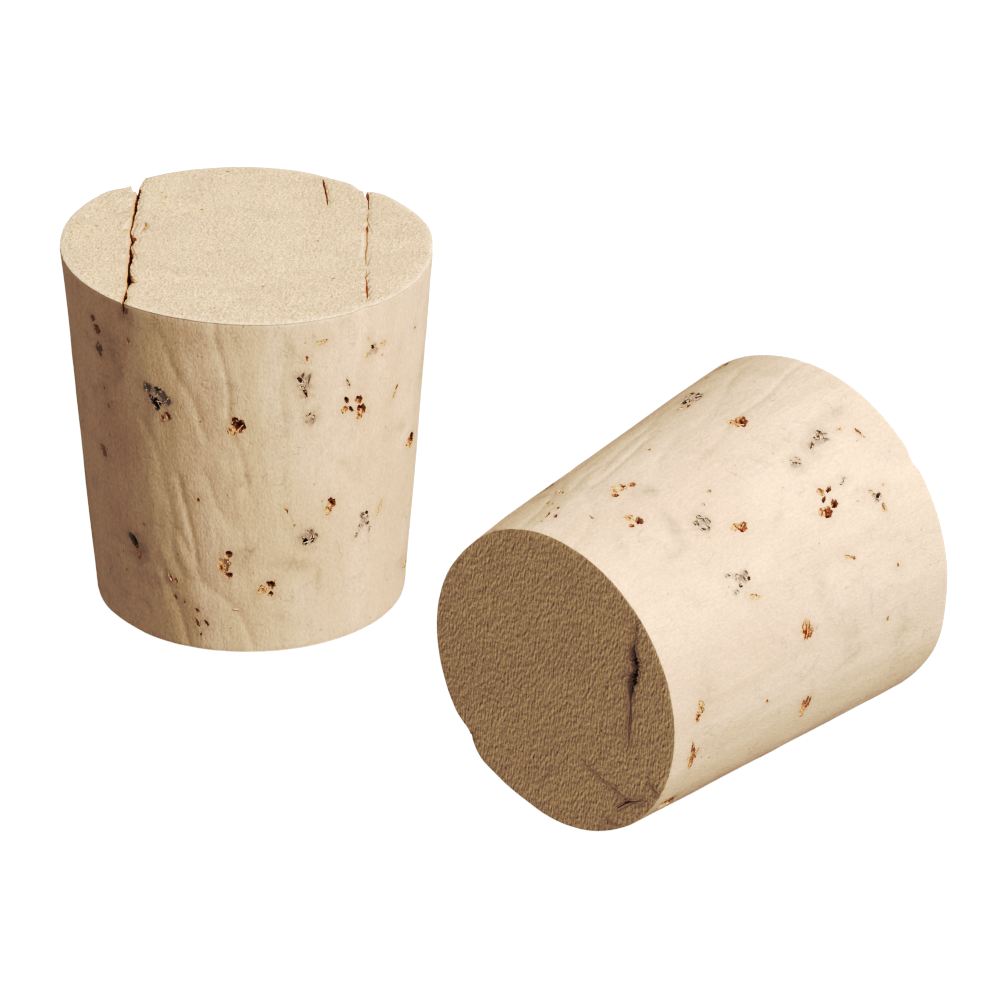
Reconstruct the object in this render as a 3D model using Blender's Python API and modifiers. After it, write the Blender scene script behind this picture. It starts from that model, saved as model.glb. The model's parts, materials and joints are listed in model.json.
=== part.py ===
"""A pair of natural cork stoppers, the plugs of a salt shaker and a pepper shaker.

Each cork is one solid piece turned from bark: a slightly tapered plug with two flat
ends. One stands on its small end and the other lies on its side in front of it.
Metres, +Z up, with the origin at the centre of the standing cork's foot.

A cork is described in a frame of its own: the axis is +Z from the small end up to the
big end, and an angle goes round the side from the front (-Y) towards +X. The bark's
pores run straight through the cork along Y.
"""

import math

import bmesh
import bpy
from mathutils import Matrix, Vector

MM = 0.001

# The two corks: diameters, length along the axis, how far the section is drawn out
# along Y, and how far the big end's saw cut rises towards +X and towards +Y.
STANDING = {"big_d": 22.1 * MM, "small_d": 18.6 * MM, "length": 22.16 * MM, "oval": 0.0075,
            "saw_rise": (-0.028, 0.0135)}
LYING = {"big_d": 21.1 * MM, "small_d": 18.1 * MM, "length": 22.1 * MM, "oval": 0.0264,
         "saw_rise": (0.0, 0.0)}

# Where the lying cork rests: the floor point under its small end, the way that its axis
# points over the floor, and how far it has rolled compared with the standing one.
LYING_PLACE = Vector((17.83 * MM, -30.48 * MM, 0.0))
LYING_HEADING = math.radians(48.2)
LYING_ROLL = math.radians(8.0)

# The flaws below are measured on a cork of this size, and follow the cork's own size.
PATTERN_R = 11.0 * MM
PATTERN_LENGTH = 22.1 * MM

EDGE_R = 0.22 * MM
EDGE_STEPS = 3
TURN_STEPS = 96
SIDE_ROWS = 10
MERGE = 0.00001

# Hollows worn into the big end's rim: angle, half width in degrees, depth, reach down.
RIM_DIPS = [
    (142.0, 7.0, 0.45 * MM, 3.0 * MM),
    (-136.0, 4.0, 0.45 * MM, 2.5 * MM),
    (41.0, 3.0, 0.20 * MM, 2.5 * MM),
]

# The split up the back of the bark, which runs in along Y as the pores do: where it
# meets the side, and its depth and width at the big end and at the small end.
SPLIT_ANGLE = -141.8
SPLIT_DEPTH = (1.8 * MM, 0.7 * MM)
SPLIT_WIDTH = (0.85 * MM, 0.4 * MM)

# Cracks in the ends: centre x and y, length along Y, width, depth, and which end.
CRACKS = [
    (-6.7 * MM, -1.4 * MM, 15.4 * MM, 0.26 * MM, 1.5 * MM, "big"),
    (7.0 * MM, 7.2 * MM, 1.3 * MM, 0.50 * MM, 0.7 * MM, "big"),
    (5.5 * MM, -3.2 * MM, 2.6 * MM, 0.45 * MM, 1.2 * MM, "small"),
]

# The larger pores in the side: angle, height, width round the side, height of the mouth.
PORES = [
    (-27.0, 16.4 * MM, 1.2 * MM, 1.4 * MM),
    (-41.0, 6.1 * MM, 0.8 * MM, 0.9 * MM),
    (-51.0, 18.5 * MM, 0.7 * MM, 0.8 * MM),
    (-7.0, 5.5 * MM, 0.8 * MM, 1.3 * MM),
    (-2.0, 15.3 * MM, 0.9 * MM, 1.1 * MM),
    (9.0, 4.4 * MM, 0.6 * MM, 0.9 * MM),
    (22.0, 7.3 * MM, 0.9 * MM, 0.9 * MM),
    (30.0, 9.3 * MM, 0.7 * MM, 1.0 * MM),
    (40.5, 15.2 * MM, 0.8 * MM, 1.3 * MM),
    (46.0, 7.4 * MM, 0.8 * MM, 0.8 * MM),
    (72.0, 10.9 * MM, 1.5 * MM, 0.8 * MM),
    (99.0, 1.7 * MM, 2.6 * MM, 0.4 * MM),
]
PORE_DEPTH = 1.4 * MM
CUTTER_OVERSHOOT = 0.6 * MM
FLANK_STARTS = 60.0

SHARP_EDGE = 30.0

CORK_COLOUR = (0.72, 0.56, 0.38, 1.0)
CORK_ROUGHNESS = 0.85


def clear_scene():
    for thing in list(bpy.data.objects):
        bpy.data.objects.remove(thing, do_unlink=True)


def new_collection(name):
    collection = bpy.data.collections.new(name)
    bpy.context.scene.collection.children.link(collection)
    return collection


def cork_material(name):
    material = bpy.data.materials.new(name)
    material.use_nodes = True
    shader = material.node_tree.nodes["Principled BSDF"]
    shader.inputs["Base Color"].default_value = CORK_COLOUR
    shader.inputs["Roughness"].default_value = CORK_ROUGHNESS
    shader.inputs["Metallic"].default_value = 0.0
    return material


def rounded_corner(radius, height, start_deg):
    """Points of a quarter turn about (radius, height), clockwise from start_deg."""
    points = []
    for step in range(EDGE_STEPS + 1):
        angle = math.radians(start_deg - 90.0 * step / EDGE_STEPS)
        points.append((radius + EDGE_R * math.cos(angle), height + EDGE_R * math.sin(angle)))
    return points


def cork_profile(size):
    """Half outline, from the big end's centre down the side to the small end's centre."""
    big_r, small_r, length = size["big_d"] / 2, size["small_d"] / 2, size["length"]
    top = rounded_corner(big_r - EDGE_R, length - EDGE_R, 90.0)
    foot = rounded_corner(small_r - EDGE_R, EDGE_R, 0.0)
    side = []
    for row in range(1, SIDE_ROWS):
        share = row / SIDE_ROWS
        radius = top[-1][0] + (foot[0][0] - top[-1][0]) * share
        height = top[-1][1] + (foot[0][1] - top[-1][1]) * share
        side.append((radius, height))
    return [(0.0, length)] + top + side + foot + [(0.0, 0.0)]


def turned_blank(name, size):
    """The plain turned cork: the profile spun round Z."""
    points = cork_profile(size)
    mesh = bpy.data.meshes.new(name)
    mesh.from_pydata([(x, 0.0, z) for x, z in points], [(i, i + 1) for i in range(len(points) - 1)], [])
    blank = bpy.data.objects.new(name, mesh)
    bpy.context.scene.collection.objects.link(blank)
    screw = blank.modifiers.new("turn", "SCREW")
    screw.axis = "Z"
    screw.angle = 2 * math.pi
    screw.steps = TURN_STEPS
    screw.render_steps = TURN_STEPS
    screw.use_merge_vertices = True
    screw.merge_threshold = MERGE
    bpy.context.view_layer.update()
    graph = bpy.context.evaluated_depsgraph_get()
    solid = bpy.data.meshes.new_from_object(blank.evaluated_get(graph))
    bpy.data.objects.remove(blank, do_unlink=True)
    solid.name = name
    return solid


def side_angle(x, y):
    """Angle round the side in degrees, from the front towards +X."""
    return math.degrees(math.atan2(x, -y))


def rim_dip(angle_deg, height, size):
    """How far the side is hollowed at this angle and height."""
    hollow = 0.0
    scale = size["big_d"] / 2 / PATTERN_R
    for middle, half_width, depth, reach in RIM_DIPS:
        off = (angle_deg - middle + 180.0) % 360.0 - 180.0
        below_rim = (size["length"] - height) / reach
        hollow += depth * scale * math.exp(-(off / half_width) ** 2 - below_rim ** 2)
    return hollow


def wear(mesh, size):
    """Makes the turned section slightly oval, hollows the rim and tilts the big end's cut."""
    for vertex in mesh.vertices:
        radius = math.hypot(vertex.co.x, vertex.co.y)
        if radius < MERGE:
            continue
        angle = side_angle(vertex.co.x, vertex.co.y)
        drawn_out = 1.0 + size["oval"] * math.cos(2 * math.radians(angle))
        worn = radius * drawn_out - rim_dip(angle, vertex.co.z, size)
        vertex.co.x *= worn / radius
        vertex.co.y *= worn / radius
        share = vertex.co.z / size["length"]
        vertex.co.z += share * (vertex.co.x * size["saw_rise"][0] + vertex.co.y * size["saw_rise"][1])


def cutter(name, shape, collection):
    """A closed bmesh as an object that only cuts."""
    mesh = bpy.data.meshes.new(name)
    shape.to_mesh(mesh)
    shape.free()
    tool = bpy.data.objects.new(name, mesh)
    tool.hide_render = True
    tool.display_type = "WIRE"
    collection.objects.link(tool)
    return tool


def split_cutter(name, size, collection):
    """A tapered three-sided prism up the back, its sharp corner turned inwards."""
    scale = size["big_d"] / 2 / PATTERN_R
    angle = math.radians(SPLIT_ANGLE)
    shape = bmesh.new()
    bmesh.ops.create_cone(shape, cap_ends=True, segments=3, radius1=1.0, radius2=1.0, depth=1.0)
    for corner in shape.verts:
        end = 0 if corner.co.z > 0.0 else 1
        radius = (size["big_d"], size["small_d"])[end] / 2
        height = (size["length"] + CUTTER_OVERSHOOT, -CUTTER_OVERSHOOT)[end]
        depth = SPLIT_DEPTH[end] * scale
        reach = depth + CUTTER_OVERSHOOT
        width = SPLIT_WIDTH[end] * scale * reach / depth
        # a three-sided cone's corners lie at y = 1 and y = -1/2, with x = 0 and +-sqrt(3)/2
        back = -radius * math.cos(angle) - depth + reach * (1.0 - corner.co.y) * 2 / 3
        across = radius * math.sin(angle) - corner.co.x * width / math.sqrt(3)
        corner.co = (across, back, height)
    return cutter(name, shape, collection)


def crack_cutter(name, crack, size, collection):
    """A thin upright block sunk into one end, lying along the bark's pores."""
    x, y, long, width, depth, end = crack
    scale = size["big_d"] / 2 / PATTERN_R
    base = 0.0 if end == "small" else size["length"]
    shape = bmesh.new()
    bmesh.ops.create_cube(shape, size=1.0)
    bmesh.ops.scale(shape, vec=(width, long * scale, 2 * depth), verts=shape.verts)
    bmesh.ops.translate(shape, vec=(x * scale, y * scale, base), verts=shape.verts)
    return cutter(name, shape, collection)


def pore_cutter(name, pore, size, collection):
    """An egg stretched along Y, where a pore meets the side.

    On the front it goes straight in. On the flank it lies along the side, as a slot.
    """
    angle, height, width, tall = pore
    turn = math.radians(angle)
    share = height / PATTERN_LENGTH
    radius = (size["small_d"] + (size["big_d"] - size["small_d"]) * share) / 2
    radius *= 1.0 + size["oval"] * math.cos(2 * turn)
    mouth = Vector((radius * math.sin(turn), -radius * math.cos(turn), share * size["length"]))
    shape = bmesh.new()
    bmesh.ops.create_icosphere(shape, subdivisions=2, radius=1.0)
    across = tall / 2 if abs(angle) > FLANK_STARTS else max(tall, width * math.cos(turn)) / 2
    along_y = max(PORE_DEPTH, width / 2)
    bmesh.ops.scale(shape, vec=(across, along_y, tall / 2), verts=shape.verts)
    bmesh.ops.translate(shape, vec=mouth, verts=shape.verts)
    return cutter(name, shape, collection)


def make_cork(name, size, roll, collection, cutters):
    """One whole cork in its own frame, turned by roll about its axis."""
    mesh = turned_blank(name, size)
    wear(mesh, size)
    cork = bpy.data.objects.new(name, mesh)
    collection.objects.link(cork)
    mesh.materials.clear()
    mesh.materials.append(cork_material(name))
    tools = bpy.data.collections.new(name + "_cutters")
    cutters.children.link(tools)
    made = [split_cutter(name + "_split", size, tools)]
    for number, crack in enumerate(CRACKS, 1):
        made.append(crack_cutter(f"{name}_crack_{number}", crack, size, tools))
    for number, pore in enumerate(PORES, 1):
        made.append(pore_cutter(f"{name}_pore_{number}", pore, size, tools))
    turn = Matrix.Rotation(roll, 4, "Z")
    for data in [mesh] + [tool.data for tool in made]:
        data.transform(turn)
    cut = cork.modifiers.new("flaws", "BOOLEAN")
    cut.operation = "DIFFERENCE"
    cut.solver = "EXACT"
    cut.operand_type = "COLLECTION"
    cut.collection = tools
    mesh.shade_smooth()
    mesh.set_sharp_from_angle(angle=math.radians(SHARP_EDGE))
    return cork, made


def lay_down(cork, tools, size):
    """Tips the cork onto its side, so that the side line under it meets the floor."""
    stretch = 1.0 + size["oval"]
    fall = (size["big_d"] - size["small_d"]) / 2 * stretch / size["length"]
    lean = math.atan(fall)
    tip = Matrix.Rotation(-(math.pi / 2 - lean), 4, "X")
    head = Matrix.Rotation(LYING_HEADING - math.pi / 2, 4, "Z")
    turn = head @ tip
    lowest = min((turn @ vertex.co).z for vertex in cork.data.vertices)
    place = Matrix.Translation(LYING_PLACE - Vector((0.0, 0.0, lowest))) @ turn
    for thing in [cork] + tools:
        thing.matrix_world = place
    print("lying cork: axis leans", round(math.degrees(lean), 3), "deg; small end centre",
          [round(v, 6) for v in place.translation], "axis", [round(v, 6) for v in place.col[2][:3]])


def build():
    clear_scene()
    corks = new_collection("shaker_corks")
    cutters = new_collection("cutters")
    make_cork("standing_cork", STANDING, 0.0, corks, cutters)
    lying, lying_tools = make_cork("lying_cork", LYING, LYING_ROLL, corks, cutters)
    lay_down(lying, lying_tools, LYING)


build()
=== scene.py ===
# %% [markdown]
# # Natural cork stoppers
#
# The object is a pair of tapered corks, the plugs of a salt shaker and a pepper shaker. Each is one solid
# piece of bark, turned to a slight taper, sawn flat at both ends and sanded. One stands on its small end,
# and the other lies on its side in front of it.
#
# What makes bark look like bark is its flaws: pores, thin cracks, soft creases and stains. Each of them
# gets a step of its own below. The corks' sizes and places are fixed already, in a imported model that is
# loaded first, and everything here is made to fit it.

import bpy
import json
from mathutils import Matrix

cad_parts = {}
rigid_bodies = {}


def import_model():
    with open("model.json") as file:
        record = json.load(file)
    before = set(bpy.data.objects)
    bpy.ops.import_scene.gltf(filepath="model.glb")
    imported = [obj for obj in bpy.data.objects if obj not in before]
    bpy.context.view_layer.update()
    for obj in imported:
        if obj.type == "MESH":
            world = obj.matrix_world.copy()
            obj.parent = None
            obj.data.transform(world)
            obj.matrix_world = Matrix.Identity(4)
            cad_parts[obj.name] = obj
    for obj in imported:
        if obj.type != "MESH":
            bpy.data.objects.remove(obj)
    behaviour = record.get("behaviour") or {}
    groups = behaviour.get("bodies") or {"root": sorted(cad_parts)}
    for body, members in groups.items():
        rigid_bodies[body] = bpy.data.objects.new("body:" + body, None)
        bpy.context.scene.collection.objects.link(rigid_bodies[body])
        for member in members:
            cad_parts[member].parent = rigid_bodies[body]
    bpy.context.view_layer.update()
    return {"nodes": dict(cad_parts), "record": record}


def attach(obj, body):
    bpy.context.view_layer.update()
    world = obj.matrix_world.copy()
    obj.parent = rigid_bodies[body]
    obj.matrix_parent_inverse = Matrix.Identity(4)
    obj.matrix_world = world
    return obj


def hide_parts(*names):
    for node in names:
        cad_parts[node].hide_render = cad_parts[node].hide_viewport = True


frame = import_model()

# %% Modules and units
import json
import random
from math import asin, atan2, cos, degrees, hypot, pi, radians, sin

import bmesh
import bpy
import numpy as np
from mathutils import Matrix, Vector

MM = 0.001
scene = bpy.context.scene
mounts = {mount["name"]: mount for mount in frame["record"]["mounts"]}
print("mounts:", sorted(mounts))

# %% [markdown]
# ## A frame for each cork
#
# A pore's place is easiest to say on the cork itself: so many degrees round from the front, so many
# millimetres up from the small end. So every cork is made upright, with its small end on the origin, and
# is laid in its place at the very end by one matrix.
#
# That matrix could be typed in, but then it could disagree with the model. It is worked out here from the
# small end's mount, whose axis points out of the cork. The sizes are read off the model's own vertices,
# and the slope of the big end, which isn't sawn quite square, comes from that end's own mount.

# %% Measure each cork
RIM_REACH = 0.9 * MM
# the flaws are placed on a pattern cork of this radius and length, in mm
PATTERN_R = 11.0
PATTERN_LENGTH = 22.1


def cork_place(small_end, roll_deg):
    """The matrix that takes an upright cork to its place."""
    axis = -Vector(mounts[small_end]["axis"])
    upright = hypot(axis.x, axis.y) < 0.01
    heading = pi / 2 if upright else atan2(axis.y, axis.x)
    lean = asin(max(-1.0, min(1.0, axis.z)))
    turn = Matrix.Rotation(heading - pi / 2, 4, "Z") @ Matrix.Rotation(lean - pi / 2, 4, "X")
    roll = Matrix.Rotation(radians(roll_deg), 4, "Z")
    return Matrix.Translation(mounts[small_end]["pos_m"]) @ turn @ roll


def half_widths(points):
    """Half the width along X and along Y of a ring of points."""
    return np.abs(points[:, 0]).max(), np.abs(points[:, 1]).max()


def measure_cork(node, small_end, big_end, roll_deg, squeeze):
    """The sizes of a cork, and how far its big end rises towards +X and +Y, in its own upright frame."""
    place = cork_place(small_end, roll_deg)
    into = place.inverted()
    facing = into.to_3x3() @ Vector(mounts[big_end]["axis"])
    middle = into @ Vector(mounts[big_end]["pos_m"])
    rise_x, rise_y = -facing.x / facing.z, -facing.y / facing.z
    length = middle.z - rise_x * middle.x - rise_y * middle.y
    points = np.array([into @ vertex.co for vertex in frame["nodes"][node].data.vertices])
    big_x, big_y = half_widths(points[points[:, 2] > length - RIM_REACH])
    small_x, small_y = half_widths(points[points[:, 2] < RIM_REACH])
    size = {"length": length, "big_r": (big_x + big_y) / 2, "small_r": (small_x + small_y) / 2}
    print(node, {name: round(value / MM, 2) for name, value in size.items()})
    return {"node": node, "place": place, "rise": (rise_x, rise_y), "squeeze": squeeze,
            "oval": (big_y - big_x) / (big_y + big_x), **size}


# the squeeze is how much closer together the pores of a cork lie than in the pattern
standing = measure_cork("standing_cork", "standing_foot", "standing_top", 0.0, 1.0)
lying = measure_cork("lying_cork", "lying_small_end", "lying_big_end", 8.0, 0.98)
corks = (standing, lying)

# %% [markdown]
# ## A short way to write node trees
#
# The shapes and the finish are node trees, and a tree wired one link at a time is hard to read. Here a
# `Wire` stands for one socket and knows the arithmetic signs, so `1 - mask * 0.5` adds the Math nodes
# that it says. `Graph.node` adds any other node: its type, its settings, and what goes into its sockets.

# %% Wires and graphs
class Wire:
    """One output socket, which takes part in sums as a number does."""

    def __init__(self, graph, socket):
        self.graph, self.socket = graph, socket

    def math(self, operation, *others):
        return self.graph.node("ShaderNodeMath", {"operation": operation}, dict(enumerate([self, *others])))

    def __add__(self, other):
        return self.math("ADD", other)

    def __sub__(self, other):
        return self.math("SUBTRACT", other)

    def __mul__(self, other):
        return self.math("MULTIPLY", other)

    def __truediv__(self, other):
        return self.math("DIVIDE", other)

    def __neg__(self):
        return self * -1.0

    def __rsub__(self, other):
        return -self + other

    def __abs__(self):
        return self.math("ABSOLUTE")

    __radd__, __rmul__ = __add__, __mul__

    def output(self, name):
        """Another output of the same node."""
        return Wire(self.graph, self.socket.node.outputs[name])


class Graph:
    """A node tree that is being written."""

    def __init__(self, tree):
        self.tree = tree

    def node(self, kind, settings=(), inputs=(), output=0):
        made = self.tree.nodes.new(kind)
        for name, value in dict(settings).items():
            if name == "stops":
                set_stops(made.color_ramp, value)
            else:
                setattr(made, name, value)
        for name, value in dict(inputs).items():
            for one in value if isinstance(value, list) else [value]:
                self.feed(made.inputs[name], one)
        return Wire(self, made.outputs[output])

    def shape(self, kind, output=0, **inputs):
        """A Geometry Nodes node that needs no settings."""
        return self.node("GeometryNode" + kind, (), inputs, output)

    def feed(self, socket, value):
        """Links a wire to a socket, or sets the socket to a plain value."""
        if isinstance(value, Wire):
            self.tree.links.new(value.socket, socket)
        else:
            socket.default_value = value


def set_stops(ramp, stops):
    """Gives a colour ramp these (place, colour) stops."""
    while len(ramp.elements) < len(stops):
        ramp.elements.new(0.5)
    for element, (place, colour) in zip(ramp.elements, stops):
        element.position = place
        element.color = (*colour, 1.0)


print("node helpers ready")

# %% Places and noise, for any tree
def scaled(place, factor):
    """A place or a colour times a number."""
    return place.graph.node("ShaderNodeVectorMath", {"operation": "SCALE"}, {0: place, "Scale": factor})


def stretched(place, *factors):
    """A place with each of its axes scaled by its own factor."""
    return place.graph.node("ShaderNodeVectorMath", {"operation": "MULTIPLY"}, {0: place, 1: factors})


def noise_at(place, scale, detail=2.0, distortion=0.0, seed=None):
    """Smooth noise between 0 and 1."""
    inputs = {"Vector": place, "Scale": scale, "Detail": detail, "Distortion": distortion}
    if seed is None:
        return place.graph.node("ShaderNodeTexNoise", inputs=inputs)
    return place.graph.node("ShaderNodeTexNoise", {"noise_dimensions": "4D"}, {**inputs, "W": seed})


# %% Geometry trees with named inputs
def new_geometry_graph(name, sockets):
    """A Geometry Nodes tree with these named inputs, as a graph and a wire for each input."""
    tree = bpy.data.node_groups.new(name, "GeometryNodeTree")
    for label, kind in {"Geometry": "Geometry", **sockets}.items():
        tree.interface.new_socket(label, in_out="INPUT", socket_type="NodeSocket" + kind)
    tree.interface.new_socket("Geometry", in_out="OUTPUT", socket_type="NodeSocketGeometry")
    graph = Graph(tree)
    entry = tree.nodes.new("NodeGroupInput")
    return graph, {socket.name: Wire(graph, socket) for socket in entry.outputs if socket.name}


def end_geometry_graph(geometry):
    graph = geometry.graph
    graph.feed(graph.tree.nodes.new("NodeGroupOutput").inputs[0], geometry)
    print(graph.tree.name, "has", len(graph.tree.nodes), "nodes")
    return graph.tree


def show(name, data):
    """Puts a mesh, a light or a camera in the scene."""
    thing = bpy.data.objects.new(name, data)
    scene.collection.objects.link(thing)
    return thing


def grow(name, tree, values, start=None):
    """Runs a Geometry Nodes tree once and returns the plain mesh that it makes."""
    thing = show(name, start or bpy.data.meshes.new(name))
    modifier = thing.modifiers.new("grow", "NODES")
    modifier.node_group = tree
    for socket in tree.interface.items_tree:
        if socket.in_out == "INPUT" and socket.name in values:
            modifier[socket.identifier] = values[socket.name]
    evaluated = thing.evaluated_get(bpy.context.evaluated_depsgraph_get())
    mesh = bpy.data.meshes.new_from_object(evaluated)
    bpy.data.objects.remove(thing, do_unlink=True)
    mesh.name = name
    return mesh


def stored(geometry, name, value, kind="FLOAT"):
    """Keeps a value on every point of the geometry, under a name that the materials can read."""
    return geometry.graph.node("GeometryNodeStoreNamedAttribute", {"data_type": kind, "domain": "POINT"},
                               {"Geometry": geometry, "Name": name, "Value": value})


def named(graph, name, kind="FLOAT"):
    """Reads a value kept on the points under this name."""
    return graph.node("GeometryNodeInputNamedAttribute", {"data_type": kind}, {"Name": name})


def written(mesh, **values):
    """Keeps a number, or a set of three, for every point of a mesh, under each name."""
    for name, numbers in values.items():
        numbers = np.array(numbers)
        kind = "FLOAT_VECTOR" if numbers.ndim == 2 else "INT" if numbers.dtype == int else "FLOAT"
        attribute = mesh.attributes.new(name, kind, "POINT")
        attribute.data.foreach_set("vector" if numbers.ndim == 2 else "value", numbers.ravel())
    return mesh


def bare_points(name, places, **values):
    """A mesh of bare points, with these values on them."""
    mesh = bpy.data.meshes.new(name)
    mesh.from_pydata(places, [], [])
    return written(mesh, **values)


def bark_place(graph):
    """The place in the upright cork in mm, to which the finish is fixed."""
    return scaled(graph.shape("InputPosition"), 1 / MM)


print("geometry helpers ready")

# %% [markdown]
# ## The creases
#
# Bark dries and shrinks, so a cork's side isn't a clean cone. It has a few long, shallow creases that
# wander from rim to rim. Noise alone makes an even ripple with no such lines. So they are drawn: each is
# a short list of points on the side, as an angle and a height, joined by a smooth curve. The skin is then
# pressed in along them.

# %% Draw the creases
CREASES = [
    [(-3, 14.6), (-0.5, 13.4), (1.5, 11)],
    [(-25, 20.5), (-21, 18.6), (-15, 16.6), (-12, 14.5)],
    [(-34, 15), (-30, 13.5), (-27, 11), (-24.5, 8.4), (-25.5, 6.5), (-22, 4.8)],
    [(-27.5, 10.5), (-23, 8), (-19, 6.5), (-15, 4.5)],
    [(-12, 12), (-9, 10), (-5, 8.8)],
    [(-14, 4.5), (-7, 3.6), (-2, 2.6), (2, 0.8), (3, 0.2)],
    [(-30, 5), (-25, 3), (-22, 1), (-21, 0.1)],
    [(14, 20.5), (12, 17.5), (14, 14), (12.5, 11)],
    [(31, 12.5), (36, 13.3), (40, 14.2)],
    [(31, 12.5), (35, 11.6), (38, 10.8)],
]
# two of them are sharper, nearly folds
FOLDS = [
    [(-7.8, 22.3), (-7.4, 20.8), (-5.6, 19.4), (-4.2, 18), (-3.9, 17), (-4.2, 16)],
    [(-21.5, 11.5), (-19.5, 9.5), (-17.5, 7.6), (-16.5, 6)],
]
CREASE_STEP = 0.3


def on_side(cork, angle_deg, height_mm, out=0.0):
    """The point of the plain tapered side at an angle and a height given on the pattern cork."""
    share = height_mm * cork["squeeze"] / PATTERN_LENGTH
    turn = radians(angle_deg)
    radius = cork["small_r"] + (cork["big_r"] - cork["small_r"]) * share
    radius = radius * (1.0 + cork["oval"] * cos(2 * turn)) + out
    return Vector((radius * sin(turn), -radius * cos(turn), share * cork["length"]))


def smooth_path(points, step):
    """A Catmull-Rom curve through the points, with a new point about every step."""
    points = [np.array(point, float) for point in points]
    ends = [2 * points[0] - points[1]] + points + [2 * points[-1] - points[-2]]
    path = []
    for a, b, c, d in zip(ends, ends[1:], ends[2:], ends[3:]):
        count = max(1, round(np.linalg.norm(c - b) / step))
        for i in range(count):
            t = i / count
            path.append(0.5 * (2 * b + (c - a) * t + (2 * a - 5 * b + 4 * c - d) * t ** 2
                               + (3 * b - a - 3 * c + d) * t ** 3))
    return path + [points[-1]]


def crease_lines(cork, name, creases):
    """Creases of a cork as one object of edges, lying on its side."""
    points, edges = [], []
    for crease in creases:
        path = smooth_path(crease, CREASE_STEP)
        edges += [(len(points) + i, len(points) + i + 1) for i in range(len(path) - 1)]
        points += [on_side(cork, angle, height) for angle, height in path]
    mesh = bpy.data.meshes.new(cork["node"] + name)
    mesh.from_pydata(points, edges, [])
    print(mesh.name, len(edges), "edges")
    return show(mesh.name, mesh)


for cork in corks:
    cork["creases"] = crease_lines(cork, "_creases", CREASES)
    cork["folds"] = crease_lines(cork, "_folds", FOLDS)

# %% [markdown]
# ## The turned skin
#
# The skin is the cork before any flaw is cut: a taper with softened edges, slightly oval, with the rim
# worn away in a few places. A cylinder with Subdivision Surface can't follow the worn rim, and a remesh
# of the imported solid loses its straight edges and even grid. The shape follows a rule, so Geometry Nodes
# write it as one: each point of a plain unit cylinder is moved to where the rule says. The numbers stay
# open as named inputs, and the same tree makes both corks.

# %% Rim wear and relief
# angle, half width in degrees, depth in mm (a bulge if negative), height, how far it reaches up and down
WEAR = [
    (141, 4, 0.55, 22.1, 3), (152, 10, 0.24, 22.1, 3), (-136, 4, 0.4, 22.1, 2.5), (40.5, 3, 0.2, 22.1, 2.5),
    (-18, 20, 0.11, 22.1, 3.5), (92, 8, 0.06, 20.5, 3), (108, 14, -0.15, 22.1, 4),
    (-7.6, 1, 0.04, 22.1, 0.5), (-52, 16, 0.13, 0, 2.5), (-138, 5, 0.26, 0, 2.5), (-149, 6, -0.16, 0, 2.5),
    (-172, 9, 0.13, 0, 3), (-90, 25, 0.04, 18, 4), (-90, 25, -0.06, 4.5, 4),
]
SKIN_INPUTS = {
    **dict.fromkeys(["Big Radius", "Small Radius", "Length", "Oval", "Rise X", "Rise Y", "Edge Radius",
                     "Crease Depth", "Crease Width", "Fold Depth", "Fold Width"], "Float"),
    **dict.fromkeys(["Around", "Rows", "Rings"], "Int"), **dict.fromkeys(["Creases", "Folds"], "Object")}
# the front has the creases, so points are packed closer there
CROWDING, CROWDED_AT = 0.45, 20.0
# how deep the broad swells, the fine ripples and the marks of the saw go, and a little to clear the model
SWELL, RIPPLE, SAW, CLEARANCE = 0.13 * MM, 0.07 * MM, 0.12 * MM, 0.01 * MM


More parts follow.
